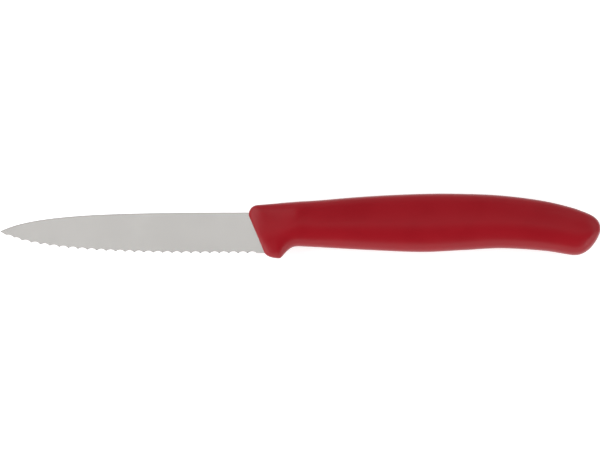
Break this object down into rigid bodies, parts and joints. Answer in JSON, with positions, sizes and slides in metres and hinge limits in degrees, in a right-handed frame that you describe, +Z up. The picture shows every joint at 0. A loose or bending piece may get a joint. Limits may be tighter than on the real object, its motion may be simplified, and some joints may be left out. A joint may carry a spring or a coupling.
{
  "type": "fruit knife",
  "caption": "Small fruit knife with a pointed wavy-edged steel blade whose tang is moulded into a red plastic handle with a finger guard and a dropped butt.",
  "frame": {"origin": "bottom centre of the knife's box, with the knife lying on its right side", "axes": "+X from the point to the butt, +Y from the edge to the spine, +Z up through the thickness, out of the left side"},
  "size_m": [0.1938, 0.021, 0.013],
  "materials": {
    "steel": "satin ground stainless steel",
    "red_plastic": "satin moulded polypropylene"
  },
  "bodies": {
    "root": {"blade": "steel", "handle": "red_plastic"}
  },
  "joints": []
}
